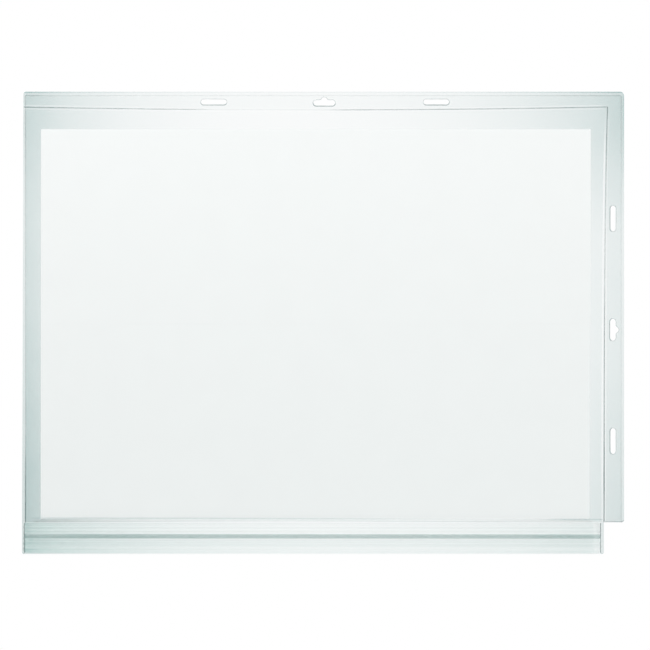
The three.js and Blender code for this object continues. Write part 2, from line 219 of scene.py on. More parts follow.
def euro_slot():
    """A slot whose upper side rises to a round crown in the middle."""
    radius = EURO_WIDTH / 2
    reach = EURO_LENGTH / 2 - radius
    crown = radius + EURO_CROWN - CROWN_RADIUS
    fillet = radius + CROWN_FILLET
    aside = math.sqrt((CROWN_RADIUS + CROWN_FILLET) ** 2 - (fillet - crown) ** 2)
    lean = math.atan2(fillet - crown, aside)
    points = slot_arc((reach, 0), radius, -math.pi / 2, math.pi / 2)
    points += slot_arc((aside, fillet), CROWN_FILLET, -math.pi / 2, lean - math.pi, 3)
    points += slot_arc((0, crown), CROWN_RADIUS, lean, math.pi - lean)
    points += slot_arc((-aside, fillet), CROWN_FILLET, -lean, -math.pi / 2, 3)
    points += slot_arc((-reach, 0), radius, math.pi / 2, 1.5 * math.pi)
    return points


def placed_slots():
    """Outlines of all six slots in the pocket's plane, a Euro slot between two plain ones on each flange."""
    plain = plain_slot()
    euro = euro_slot()
    upright = [Vector((p.y, -p.x)) for p in plain]
    upright_euro = [Vector((p.y, -p.x)) for p in euro]
    places = [(euro, (0.0, TOP_EURO)), (upright_euro, (SIDE_EURO, SIDE_SLOTS_MIDDLE))]
    for step in (-SLOT_SPACING, SLOT_SPACING):
        places.append((plain, (TOP_PAIR + step, TOP_SLOTS)))
        places.append((upright, (SIDE_SLOTS, SIDE_SLOTS_MIDDLE + step)))
    return [[p + Vector(place) for p in slot] for slot, place in places]


def rounded(corners, steps=5):
    """A closed outline through corners given as width, height and radius."""
    outline = []
    for i, (x, z, radius) in enumerate(corners):
        here = Vector((x, z))
        before = Vector(corners[i - 1][:2])
        after = Vector(corners[(i + 1) % len(corners)][:2])
        if radius == 0:
            outline.append(here)
            continue
        start = here + (before - here).normalized() * radius
        end = here + (after - here).normalized() * radius
        for k in range(steps + 1):
            t = k / steps
            outline.append(start * (1 - t) ** 2 + here * 2 * t * (1 - t) + end * t * t)
    return outline


def film_outline(foot):
    """Outline of a film: the rear one reaches down behind the closure, left of the side seam."""
    flange_foot = FRONT_LOW.z
    corners = [(LEFT, foot, 0), (RIGHT, foot, 2.0 * MM)]
    if foot < flange_foot - MM:
        corners = [(LEFT, foot, 1.6 * MM), (SIDE_SEAM, foot, 1.6 * MM)]
        corners += [(SIDE_SEAM, flange_foot, 0), (RIGHT, flange_foot, 2.0 * MM)]
    corners += [(RIGHT, TOP, 3.4 * MM), (LEFT + LEFT_LEAN, TOP, 2.0 * MM)]
    return rounded(corners)


def side_seam(z):
    """Where the side seam runs, straying outward towards the top."""
    return SIDE_SEAM + SIDE_DRIFT * math.exp((z - TOP_SEAM) / SIDE_DRIFT_REACH)


def top_seam(x):
    """Height of the top seam, which sags between its ends."""
    share = (x - LEFT) / (SIDE_SEAM - LEFT)
    return TOP_SEAM - TOP_DIP + TOP_BOW * (share - 0.5) ** 2


def inside(point, outline):
    """True if a point of the plane lies within a closed outline."""
    hit = False
    for a, b in zip(outline, outline[1:] + outline[:1]):
        if (a.y > point.y) != (b.y > point.y):
            if point.x < a.x + (b.x - a.x) * (point.y - a.y) / (b.y - a.y):
                hit = not hit
    return hit


def spread(start, end, cell):
    """Evenly spaced values from start to end, about a cell apart."""
    count = max(1, round((end - start) / cell))
    return [start + (end - start) * i / count for i in range(count + 1)]


def film_plan(outline, columns, rows):
    """Points and triangles over a film's plan, with corners on its outline, its slots and a grid."""
    slots = placed_slots()
    points = []
    edges = []
    for loop in [outline] + slots:
        first = len(points)
        points += loop
        edges += [(first + i, first + (i + 1) % len(loop)) for i in range(len(loop))]
    margin = 0.3 * MM
    for x in columns:
        for z in rows:
            here = Vector((x, z))
            if not inside(here, outline):
                continue
            near = [s for s in slots if abs(s[0].x - x) < SLOT_LENGTH and abs(s[0].y - z) < SLOT_LENGTH]
            if any(min((p - here).length for p in s) < 3 * margin or inside(here, s) for s in near):
                continue
            points.append(here)
    plan = geometry.delaunay_2d_cdt(points, edges, [], 0, 1e-7)
    flat, faces = plan[0], plan[2]
    kept = []
    for face in faces:
        centre = sum((flat[i] for i in face), Vector((0, 0))) / len(face)
        if inside(centre, outline) and not any(inside(centre, s) for s in slots):
            kept.append(face)
    return flat, kept


def two_layers(name, plan, front, back, tone):
    """A closed sheet between two depth functions over a plan, with a tone on each point that darkens lines, a
    painted shadow among them.
    """
    flat, faces = plan
    mesh = bmesh.new()
    layer = mesh.verts.layers.float.new("weld")
    used = sorted({i for face in faces for i in face})
    sides = []
    for depth in (front, back):
        corner = {}
        for i in used:
            x, z = flat[i]
            corner[i] = mesh.verts.new((x, depth(x, z), z))
            corner[i][layer] = tone(x, z)
        sides.append(corner)
    for face in faces:
        mesh.faces.new([sides[0][i] for i in face])
        mesh.faces.new([sides[1][i] for i in reversed(face)])
    rim = [edge for edge in mesh.edges if edge.is_boundary and edge.verts[0] in sides[0].values()]
    across = {sides[0][i]: sides[1][i] for i in used}
    for edge in rim:
        a, b = edge.verts
        mesh.faces.new((a, b, across[b], across[a]))
    bmesh.ops.recalc_face_normals(mesh, faces=mesh.faces)
    return finished(name, mesh)


def finished(name, mesh, angle=32):
    """Turns mesh data into an object that shades smooth except over sharp edges."""
    data = bpy.data.meshes.new(name)
    mesh.to_mesh(data)
    mesh.free()
    data.shade_smooth()
    data.set_sharp_from_angle(angle=math.radians(angle))
    piece = bpy.data.objects.new(name, data)
    bpy.context.scene.collection.objects.link(piece)
    return piece


def climb(distance, run):
    """Smooth climb from 0 to 1 over a run."""
    t = min(max(distance / run, 0), 1)
    return t * t * (3 - 2 * t)


def stand_off(x, z):
    """How far the front film's inner face stands in front of the rear film."""
    to_mouth = climb(STRIP_TOP + MOUTH_RISE - z, MOUTH_RISE)
    depth = CHAMBER + (MOUTH - CHAMBER) * to_mouth
    left = climb(x - LEFT - RIM, EDGE_RISE)
    right = climb(SIDE_SEAM - SEAM / 2 - x, EDGE_RISE)
    top = climb(TOP_SEAM - SEAM / 2 - z, EDGE_RISE)
    return depth * left * right * top


def ripple(x, z, height):
    """Slow swells of a soft film held at its edges, never inward of its flat shape."""
    held = 30 * MM
    calm = climb(x - LEFT - RIM, held) * climb(SIDE_SEAM - x, held)
    calm *= climb(TOP_SEAM - z, held) * climb(z - STRIP_TOP, 40 * MM)
    swell = noise.noise(Vector((x * 9, 0.0, z * 14))) + 0.5 * noise.noise(Vector((x * 23, 4.0, z * 19)))
    return height * calm * (0.8 + swell)


def peak(value, centre, half):
    """1 at the centre, falling straight to 0 at half to either side."""
    return max(0.0, 1 - abs(value - centre) / half)


def feed(node, inputs):
    """Sets a node's inputs from values, or links them to other sockets."""
    for name, value in inputs.items():
        if isinstance(value, bpy.types.NodeSocket):
            node.id_data.links.new(value, node.inputs[name])
        else:
            node.inputs[name].default_value = value


def fed_node(tree, kind, inputs):
    """A new node with its inputs set or linked."""
    node = tree.nodes.new(kind)
    feed(node, inputs)
    return node


def math_node(operation, first, second=0.0, clamp=False):
    """One Math node's output, in the tree of the sockets that it joins."""
    tree = next(value.id_data for value in (first, second) if isinstance(value, bpy.types.NodeSocket))
    node = fed_node(tree, "ShaderNodeMath", {0: first, 1: second})
    node.operation = operation
    node.use_clamp = clamp
    return node.outputs[0]


def chain(operation):
    """A function that joins values by one operation, from left to right."""

    def join(first, *others):
        for other in others:
            first = math_node(operation, first, other)
        return first

    return join


plus = chain("ADD")
minus = chain("SUBTRACT")
times = chain("MULTIPLY")
most = chain("MAXIMUM")


def ramp(value, start, end, low, high):
    """A smooth ramp of value from low at start to high at end."""
    inputs = {"Value": value, "From Min": start, "From Max": end, "To Min": low, "To Max": high}
    node = fed_node(value.id_data, "ShaderNodeMapRange", inputs)
    node.interpolation_type = "SMOOTHSTEP"
    return node.outputs["Result"]


def span(value, origin, start, end, low, high):
    """A ramp between two distances from an origin, given in millimetres."""
    return ramp(value, origin + start * MM, origin + end * MM, low, high)


def soft_edge(value, line, soft, low, high):
    """A ramp that is centred on a line and as soft as said to either side of it."""
    return ramp(value, line - soft, line + soft, low, high)


def fade_node(distance, reach):
    """Falls off from 1 by a factor of e over each reach."""
    return math_node("EXPONENT", math_node("DIVIDE", distance, -reach))


def noise_node(place, scale, detail):
    """Soft random values from 0 to 1."""
    inputs = {"Vector": place, "Scale": scale, "Detail": detail}
    return fed_node(place.id_data, "ShaderNodeTexNoise", inputs).outputs["Fac"]


def uneven(place, scale, detail, low, high, edge=0.3):
    """Soft patches between a low and a high value."""
    return ramp(noise_node(place, scale, detail), edge, 1 - edge, low, high)


def split(place):
    """The X, Y and Z of a place."""
    return fed_node(place.id_data, "ShaderNodeSeparateXYZ", {0: place}).outputs


def thickness_and_shadow_tone(tree):
    """The tone that a mesh carries on its points: thickness in the profiles, and dark lines in the front
    film, one of them painted shadow.
    """
    node = tree.nodes.new("ShaderNodeAttribute")
    node.attribute_name = "weld"
    return node.outputs["Fac"]


def mixed(factor, first, second):
    """A colour between two others."""
    node = factor.id_data.nodes.new("ShaderNodeMix")
    node.data_type = "RGBA"
    feed(node, {"Factor": factor, "A": (*first, 1), "B": (*second, 1)})
    return node.outputs["Result"]


def bumped(shader, strength, distance, height):
    """Gives the shader bump from a height."""
    inputs = {"Strength": strength, "Distance": distance, "Height": height}
    bump = fed_node(shader.id_data, "ShaderNodeBump", inputs)
    feed(shader, {"Normal": bump.outputs["Normal"]})


def new_material(name):
    """A material with its Principled node and the piece's own coordinates."""
    material = bpy.data.materials.new(name)
    material.use_nodes = True
    nodes = material.node_tree.nodes
    return material, nodes["Principled BSDF"], nodes.new("ShaderNodeTexCoord").outputs["Object"]


def end_haze_and_painted_shade(place):
    """How much darker the film is made towards its left and right ends and lower corners, from 0 to 1: partly
    the film's own grey-green density, partly painted shade for the studio light falling off there.
    """
    x, _, z = split(place)
    # Painted shade: darker towards the ends and lower corners where the light falls off, on top of the film's
    # own density
    left_mid = BOTTOM + 251 * MM
    left_low = ramp(z, left_mid, BOTTOM, 0.40, 0.64)
    left_high = ramp(z, left_mid, TOP, 0.0, 0.10)
    right_low = ramp(z, BOTTOM + 180 * MM, BOTTOM, 0.21, 0.36)
    right_high = ramp(z, BOTTOM + 232 * MM, TOP, 0.0, 0.27)
    from_left = fade_node(minus(x, LEFT), 57 * MM)
    from_right = fade_node(minus(RIGHT, x), 84 * MM)
    left = times(plus(left_low, left_high), from_left)
    right = times(plus(right_low, right_high), from_right)
    return plus(left, right), x, z


def rim_share(x, z):
    """Share of the ends' darkening, partly painted shade, left in the thinner rim outside the outer weld
    line.
    """
    soft = 0.2 * MM
    left = soft_edge(x, LEFT + LEFT_RIM, soft, 0.6, 1.0)
    right = soft_edge(x, RIGHT - RIGHT_RIM, soft, 1.0, 0.8)
    top = soft_edge(z, TOP - TOP_RIM, soft, 1.0, 0.86)
    right = most(right, span(z, TOP, -110, -60, 0.0, 0.97))
    return times(left, times(right, top))


def strip_share(x, z):
    """Share of the rear film's end darkening, partly painted shade, left behind the strips, which carry the
    rest.
    """
    soft = 0.3 * MM
    above = soft_edge(z, HINGE[2], soft, 0.25, 1.0)
    left = soft_edge(x, GROOVE_LOW.x, soft, 1.0, 0.0)
    right = soft_edge(x, GROOVE_HIGH.x, soft, 0.0, 1.0)
    return most(above, most(left, right))


def past_seams(x, z):
    """How far a point lies beyond the side seam and above the top seam."""
    drift = times(fade_node(minus(TOP_SEAM, z), SIDE_DRIFT_REACH), SIDE_DRIFT)
    from_middle = minus(x, (LEFT + SIDE_SEAM) / 2)
    share = math_node("DIVIDE", from_middle, SIDE_SEAM - LEFT)
    bow = times(share, share, TOP_BOW)
    return minus(x, SIDE_SEAM, drift), minus(z, TOP_SEAM - TOP_DIP, bow)


def on_flange(x, z):
    """1 beyond the side seam and above the top seam, 0 on the pocket itself."""
    soft = 0.3 * MM
    beside, above = past_seams(x, z)
    side = soft_edge(beside, 0.0, soft, 0.0, 1.0)
    return most(side, soft_edge(above, 0.0, soft, 0.0, 1.0))


def seam_highlight_line(distance, centre, half, amount):
    """A line beside a seam where the darkening is lessened by an amount, as a painted highlight, and 0 away
    from it.
    """
    away = math_node("ABSOLUTE", minus(distance, centre))
    return ramp(away, 0.3 * half, half, amount, 0.0)


def seam_highlight_share(x, z):
    """Share of the ends' darkening, partly painted shade, left beside the seams, where lighter lines are
    painted highlights of the film curving up from the welds.
    """
    beside, above = past_seams(x, z)
    # Painted highlights: lighter lines beside the side seam and above and below the top seam
    inner = seam_highlight_line(beside, -1.25 * MM, 1.0 * MM, 0.72)
    outer = seam_highlight_line(beside, 1.1 * MM, 0.8 * MM, 0.6)
    inner = times(inner, span(z, BOTTOM, 335, 295, 0.2, 1.0))
    outer = times(outer, span(z, BOTTOM, 310, 160, 0.3, 1.0))
    under = seam_highlight_line(above, -1.2 * MM, 0.8 * MM, 0.25)
    over = seam_highlight_line(above, 1.2 * MM, 0.8 * MM, 0.35)
    pocket_high = ramp(above, -12 * MM, 0.0, 1.0, 0.0)
    over_closure = ramp(z, HINGE[2], HINGE[2] + 2 * MM, 0.0, 1.0)
    past_foot = span(z, BOTTOM, 42, 60, 0.6, 1.0)
    pocket_wide = ramp(beside, -6 * MM, 0.0, 1.0, 0.0)
    side = times(plus(inner, outer), pocket_high, over_closure, past_foot)
    top = times(plus(under, over), pocket_wide)
    return minus(1.0, plus(side, top))


def bare_share(x, z):
    """Share of the ends' darkening, partly painted shade, left where the sheet always hides the rear film
    from the front.
    """
    start = 0.5 * MM
    run = 9 * MM
    slid = 14 * MM
    left = ramp(x, SHEET_LOW.x + MM + start, SHEET_LOW.x + MM + run, 0.0, 1.0)
    right = ramp(x, SHEET_HIGH.x - MM - start, SHEET_HIGH.x - MM - run, 0.0, 1.0)
    top = ramp(z, SHEET_HIGH.z - start, SHEET_HIGH.z - run, 0.0, 1.0)
    foot = ramp(z, SHEET_LOW.z + start, SHEET_LOW.z + 4 * MM, 0.0, 1.0)
    low = ramp(z, SHEET_LOW.z + slid, SHEET_LOW.z + slid + 2 * run, 0.55, 0.85)
    hidden = times(times(left, right), times(top, times(low, foot)))
    return minus(1.0, hidden)


def outer_edge(x, z):
    """1 along the top edge and the upper side edges, half along the foot, 0 inside them."""
    high = span(z, TOP, -1.1, -0.6, 0.0, 1.0)
    low = span(z, BOTTOM, 0.45, 0.9, 0.5, 0.0)
    right = span(x, RIGHT, -1.0, -0.5, 0.0, 0.4)
    lean = times(minus(z, BOTTOM), LEFT_LEAN / (TOP - BOTTOM))
    left = span(minus(x, lean), LEFT, 0.4, 0.8, 0.5, 0.0)
    upper = span(z, TOP, -70, -20, 0.0, 1.0)
    sides = times(most(right, left), upper)
    return most(high, low, sides)


def per_face(haze):
    """Each ray crosses a front and a back face, so each holds back the root of the whole."""
    clear = math_node("SUBTRACT", 1.0, haze, clamp=True)
    return math_node("SUBTRACT", 1.0, math_node("POWER", clear, 0.5), clamp=True)


def orange_peel(shader, place, strength):
    """The faint unevenness of rolled soft film, as bump."""
    bumped(shader, strength, 0.3 * MM, noise_node(place, 90.0, 2.0))


def film_gloss(shader, place, tint):
    """Glossy soft vinyl with slightly uneven roughness."""
    feed(shader, {
        "Base Color": (*tint, 1),
        "IOR": VINYL_IOR,
        "Specular IOR Level": 0.5,
        "Coat Weight": 0.6,
        "Coat Roughness": 0.04,
        "Roughness": uneven(place, 14.0, 3.0, 0.07, 0.15),
    })


def rear_film_material(settings):
    """Darker towards its ends, partly by painted shade, denser at its cut edges, and clear behind the sheet.
    """
    material, shader, place = new_material("rear_clear_film")
    film_gloss(shader, place, settings.tint)
    # ends: darkening towards the ends and lower corners, partly the film's density and partly painted shade
    ends, x, z = end_haze_and_painted_shade(place)
    shares = [share(x, z) for share in (rim_share, strip_share, seam_highlight_share, bare_share)]
    cut = outer_edge(x, z)
    share = plus(times(*shares), times(cut, 0.55))
    edges = plus(times(ends, share), times(cut, 0.05))
    cloud = uneven(place, 22.0, 4.0, 0.96, 1.04, 0.25)
    haze = times(plus(edges, settings.rear_haze), cloud)
    feed(shader, {"Alpha": per_face(haze)})
    orange_peel(shader, place, 0.12)
    return material


def front_film_material(settings):
    """Nearly clear over the sheet, denser where it is welded to the rear film and along the lines on its
    points, one of them a painted shadow, and with painted shade growing towards the bottom.
    """
    material, shader, place = new_material("front_clear_film")
    film_gloss(shader, place, settings.tint)
    x, _, z = split(place)
    pressed = times(on_flange(x, z), settings.flange_haze)
    # Painted shade: denser towards the bottom, standing in for the light falling off down the sheet
    clear = ramp(z, TOP_SEAM, BOTTOM, settings.front_haze, 3 * settings.front_haze)
    haze = plus(pressed, thickness_and_shadow_tone(place.id_data), clear)
    feed(shader, {"Alpha": per_face(haze)})
    orange_peel(shader, place, 0.12)
    return material


def profile_material(name, settings, end_share):
    """Clear extruded profile, grey-green where ribs, groove and tongue make it thick, and darker at its ends,
    partly by painted shade.
    """
    material, shader, place = new_material(name)
    film_gloss(shader, place, settings.tint)
    # ends: darkening towards the ends, partly the film's density and partly painted shade, of which each
    # strip carries end_share
    ends, x, z = end_haze_and_painted_shade(place)
    tone = thickness_and_shadow_tone(place.id_data)
    colour = mixed(tone, settings.tint, Vector(settings.tint) * 0.72)
    feed(shader, {"Base Color": colour})
    fewer = ramp(ends, 0.15, 0.60, 1.0, 0.35)
    right = span(x, GROOVE_HIGH.x, -60, -35, 1.0, 1.15)
    thick = times(tone, settings.bead_haze, fewer, right)
    middle = ramp(ends, 0.10, 0.50, settings.haze, 0.0)
    # Painted shade at the ends, added to the flat strip's haze
    flat = plus(middle, times(ends, end_share))
    for along, origin, start, end, low, high in (
        (x, LEFT, 170, 250, 1.1, 1.0),
        (x, GROOVE_HIGH.x, -190, -50, 1.0, 0.8),
        (x, GROOVE_HIGH.x, -7, -4, 1.0, 0.6),
        (z, BEAD, -2, 0, 1.05, 1.0),
    ):
        flat = times(flat, span(along, origin, start, end, low, high))
    drawn = fed_node(place.id_data, "ShaderNodeMapping", {"Vector": place, "Scale": (0.05, 1.0, 60.0)})
    lines = uneven(drawn.outputs["Vector"], 12.0, 4.0, 0.80, 1.22)
    total = times(plus(thick, flat), lines)
    feed(shader, {"Alpha": per_face(total)})
    orange_peel(shader, place, 0.1)
    return material


def even_haze(amount):
    """Haze of a bead that is the same all along."""
    return lambda x, z: amount


def bead_material(name, tint, haze_at):
    """Melted and re-set film in a weld bead, as dense as haze_at says."""
    material, shader, place = new_material(name)
    film_gloss(shader, place, tint)
    x, _, z = split(place)
    melted = uneven(place, 60.0, 3.0, 0.85, 1.12)
    feed(shader, {"Alpha": per_face(times(melted, haze_at(x, z)))})
    return material


def rim_haze(x, z):
    """Faint along the sheet, strong beside the closure and in the upper corner on the left."""
    low = span(z, BOTTOM, 100, 35, 0.0, 0.55)
    high = span(z, TOP, -90, -20, 0.0, 0.12)
    left = span(x, LEFT, 6, 30, 1.0, 0.1)
    upper = span(z, TOP, -60, -10, 0.0, 0.12)
    right = span(x, RIGHT, -100, -40, 0.0, 1.0)
    least = span(x, LEFT, 6, 30, 0.16, 0.09)
    return plus(times(plus(low, high), left), times(upper, right), least)


def side_haze(x, z):
    """The side seam shows most in the upper corner, beside the Euro slot and near its foot."""
    spans = ((285, 320, 0.33, 0.58), (193, 180, 0.0, 0.22), (105, 60, 0.0, 0.33), (50, 38, 0.0, -0.24))
    return plus(*[span(z, BOTTOM, *values) for values in spans])


def slot_cut_and_painted_shade(x, z):
    """The cut is dark along each slot, with painted shade added on the lower side of the top slots and the
    left side of the side slots.
    """
    # Painted shade on one side of each slot, over an even 0.3 for the cut
    beside = span(x, SIDE_SLOTS, -8, -6, 0.0, 1.0)
    under = ramp(z, TOP_SLOTS - 2.2 * MM, TOP_SLOTS, 0.45, 0.0)
    inward = ramp(x, SIDE_SLOTS - 2.2 * MM, SIDE_SLOTS, 0.45, 0.0)
    top = times(under, minus(1.0, beside))
    side = times(inward, beside)
    return plus(top, side, 0.3)


def top_haze(x, z):
    """Strong at both ends of the top seam and nearly gone left of its middle."""
    leaving = span(x, LEFT, 120, 150, 1.0, 0.15)
    coming = span(x, LEFT, 225, 250, 0.0, 0.85)
    corner = span(x, LEFT, 15, 50, 0.3, 0.0)
    return times(plus(leaving, coming, corner), 0.48)


def paper_material():
    """White uncoated paper with a fine tooth, random greyer patches and one soft fold across its middle,
    shaded by a painted greyer line.
    """
    material, shader, place = new_material("white_paper")
    fold = (SHEET_LOW.z + SHEET_HIGH.z) / 2
    away = math_node("ABSOLUTE", minus(split(place)[2], fold))
    # Painted shade along the fold
    crease = ramp(away, 0.0, 0.9 * MM, 0.8, 0.0)
    cloudy = uneven(place, 40.0, 4.0, 0.0, 0.2)
    feed(shader, {
        "Base Color": mixed(most(cloudy, crease), PAPER_WHITE, PAPER_MOTTLE_AND_CREASE_SHADE),
        "Roughness": 0.72,
        "Specular IOR Level": 0.25,
    })
    fibres = noise_node(place, 900.0, 6.0)
    bumped(shader, 0.25, 0.05 * MM, minus(fibres, crease))
    return material


def dress(piece, material, body):
    """Gives a piece its finish and the body it moves with."""
    piece.data.materials.clear()
    piece.data.materials.append(material)
    if body:
        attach(piece, body)


class POCKET_OT_rear_film(bpy.types.Operator):
    """Make the flat rear film with its punched slots"""

    bl_idname = "pocket.rear_film"
    bl_label = "Rear film"

    def execute(self, context):
        settings = context.scene.pocket_film
        cell = 3 * settings.cell
        columns = [LEFT + RIM, *spread(LEFT + 10 * MM, RIGHT - 2 * RIM, cell), RIGHT - RIM]
        rows = [BOTTOM + RIM, *spread(BOTTOM + 10 * MM, TOP - 2 * RIM, cell), TOP - RIM]
        plan = film_plan(film_outline(BOTTOM), columns, rows)
        piece = two_layers("rear_clear_film", plan, lambda x, z: AIR, lambda x, z: FILM, lambda x, z: 0.0)
        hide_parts("rear_film")
        dress(piece, rear_film_material(settings), "pocket")
        return {"FINISHED"}


class POCKET_OT_front_film(bpy.types.Operator):
    """Make the formed front film, which stands off over the chamber and the closure"""

    bl_idname = "pocket.front_film"
    bl_label = "Front film"

    def execute(self, context):
        settings = context.scene.pocket_film
        foot = HINGE[2] + 0.05 * MM
        seam_left = SIDE_SEAM - SEAM / 2
        seam_top = TOP_SEAM - SEAM / 2
        step = EDGE_RISE / 6
        rise_left = spread(LEFT + RIM, LEFT + RIM + EDGE_RISE, step)
        rise_right = spread(seam_left - EDGE_RISE, seam_left, step)
        rise_top = spread(seam_top - EDGE_RISE, seam_top, step)
        window = spread(rise_left[-1], rise_right[0], settings.cell)[1:-1]
        columns = rise_left + window + rise_right + [SIDE_SEAM + SEAM / 2]
        columns += spread(SIDE_SEAM + 2 * MM, RIGHT - 1.5 * MM, 3.5 * MM)
        weld_rows = [foot + k * 0.4 * MM for k in range(1, 10)]
        low_rows = spread(STRIP_TOP + 2 * MM, STRIP_TOP + MOUTH_RISE, 3 * MM)
        rows = weld_rows + low_rows + spread(low_rows[-1], rise_top[0], settings.cell)[1:-1] + rise_top
        rows += spread(TOP_SEAM + MM, TOP - 1.5 * MM, 3.5 * MM)
        plan = film_plan(film_outline(foot), columns, rows)

        def inner(x, z):
            height = max(stand_off(x, z), AIR)
            return -height - ripple(x, z, settings.ripple)

        def outer(x, z):
            return inner(x, z) - FILM

        def tone(x, z):
            run = climb(x - LEFT - 8 * MM, 6 * MM) * climb(SIDE_SEAM - x, 2 * MM)
            share = (x - LEFT) / (SIDE_SEAM - LEFT)
            over = 0.26 * (1 - climb(share - 0.45, 0.4)) + 0.38 * climb(share - 0.88, 0.06)
            under = 0.15 + 0.12 * climb(share - 0.7, 0.2)
            sag = 6.5 * (share - 0.42) ** 2
            # The upper line is a painted shadow of the sheet's bottom edge above the strip; the lower one is
            # a weld line at the lip's top edge
            line = over * peak(z, STRIP_TOP + (0.9 - 1.1 * share) * MM, (1.0 - 0.25 * share) * MM)
            line += under * peak(z, foot + (1.35 - sag) * MM, 0.6 * MM)
            return run * line

        piece = two_layers("front_clear_film", plan, outer, inner, tone)
        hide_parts("front_film")
        dress(piece, front_film_material(settings), "pocket")
        return {"FINISHED"}


def bead_tree():
    """Geometry Nodes that sweep a flat bead along a curve and repeat it by even steps."""
    tree = bpy.data.node_groups.new("Repeated bead", "GeometryNodeTree")
    for name, kind in (
        ("Geometry", "Geometry"),
        ("Bead radius", "Float"),
        ("Flatness", "Float"),
        ("Copies", "Int"),
        ("Start", "Vector"),
        ("Step", "Vector"),
        ("Turn", "Rotation"),
        ("Material", "Material"),
    ):
        tree.interface.new_socket(name, in_out="INPUT", socket_type="NodeSocket" + kind)
    tree.interface.new_socket("Geometry", in_out="OUTPUT", socket_type="NodeSocketGeometry")
    given = tree.nodes.new("NodeGroupInput").outputs

    def made(kind, inputs):
        return fed_node(tree, kind, inputs).outputs[0]

    section = made("GeometryNodeCurvePrimitiveCircle", {"Resolution": 8, "Radius": given["Bead radius"]})
    ends = {"Profile Curve": section, "Fill Caps": True}
    swept = made("GeometryNodeCurveToMesh", {"Curve": given["Geometry"], **ends})
    squeeze = made("ShaderNodeCombineXYZ", {"X": 1.0, "Y": given["Flatness"], "Z": 1.0})
    flat = made("GeometryNodeTransform", {"Geometry": swept, "Scale": squeeze})
    row = {"Count": given["Copies"], "Start Location": given["Start"], "Offset": given["Step"]}
    line = made("GeometryNodeMeshLine", row)
    turned = {"Instance": flat, "Rotation": given["Turn"]}
    copies = made("GeometryNodeInstanceOnPoints", {"Points": line, **turned})
    real = made("GeometryNodeRealizeInstances", {"Geometry": copies})
    smooth = made("GeometryNodeSetShadeSmooth", {"Geometry": real})
    painted = made("GeometryNodeSetMaterial", {"Geometry": smooth, "Material": given["Material"]})
    fed_node(tree, "NodeGroupOutput", {"Geometry": painted})
    return tree


def beads(path, closed, material, radius, flatness, start, step=(0, 0, 0), copies=1, turn=(0, 0, 0)):
    """Plain mesh data of beads along a path of width and height points, repeated by even steps."""
    curve = bpy.data.curves.new("bead_path", "CURVE")
    curve.dimensions = "3D"
    spline = curve.splines.new("POLY")
    spline.points.add(len(path) - 1)
    for point, here in zip(spline.points, path):
        point.co = (here[0], 0.0, here[1], 1.0)
    spline.use_cyclic_u = closed
    holder = bpy.data.objects.new("bead_path", curve)
    bpy.context.scene.collection.objects.link(holder)
    modifier = holder.modifiers.new("Beads", "NODES")
    modifier.node_group = bpy.data.node_groups.get("Repeated bead") or bead_tree()
    values = {
        "Bead radius": radius,
        "Flatness": flatness,
        "Copies": copies,
        "Start": start,
        "Step": step,
        "Turn": turn,
        "Material": material,
    }
    for item in modifier.node_group.interface.items_tree:
        if item.in_out == "INPUT" and item.name in values:
            modifier[item.identifier] = values[item.name]
    bpy.context.view_layer.update()
    seen = holder.evaluated_get(bpy.context.evaluated_depsgraph_get())
    data = bpy.data.meshes.new_from_object(seen)
    bpy.data.objects.remove(holder)
    bpy.data.curves.remove(curve)
    return data


def joined(name, parts):
    """One object from several pieces of mesh data, in their own places."""
    mesh = bmesh.new()
    for part in parts:
        mesh.from_mesh(part)
        bpy.data.meshes.remove(part)
    return finished(name, mesh, 50)


class POCKET_OT_weld_beads(bpy.types.Operator):
    """Make the weld beads along the seams and the melted rim"""

    bl_idname = "pocket.weld_beads"
    bl_label = "Weld beads"

    def execute(self, context):
        weld = context.scene.pocket_weld
        tint = Vector(context.scene.pocket_film.tint)
        foot = FRONT_LOW.z
        edge = 0.4 * MM
        rim = rounded(
            [
                (LEFT + LEFT_RIM, foot, 0),
                (LEFT + LEFT_RIM, TOP - TOP_RIM, 0.6 * MM),
                (RIGHT - RIGHT_RIM, TOP - TOP_RIM, 1.2 * MM),
                (RIGHT - RIGHT_RIM, foot, 0),
            ]
        )
        side = [(side_seam(z), z) for z in spread(foot, top_seam(SIDE_SEAM), 8 * MM)]
        widths = spread(LEFT + LEFT_LEAN + edge, side_seam(TOP_SEAM), 12 * MM)
        top = [(x, top_seam(x)) for x in widths]
        low = [(SIDE_SEAM + MM, foot + edge), (RIGHT - 1.6 * MM, foot + edge)]
        low.append((RIGHT - edge, foot + 1.6 * MM))
        for name, path, width, dark, haze_at in (
            ("side_seam_bead", side, 0.9, 0.42, side_haze),
            ("top_seam_bead", top, 0.8, 0.5, top_haze),
            ("rim_bead", rim, 1.0, 0.5, rim_haze),
            ("flange_foot", low, 0.9, 0.6, even_haze(0.34)),
        ):
            material = bead_material(name, tint * dark, haze_at)
            bead = beads(path, False, material, width * weld.radius, weld.flatness, (0, -FILM, 0))
            dress(joined(name, [bead]), material, "pocket")
        return {"FINISHED"}


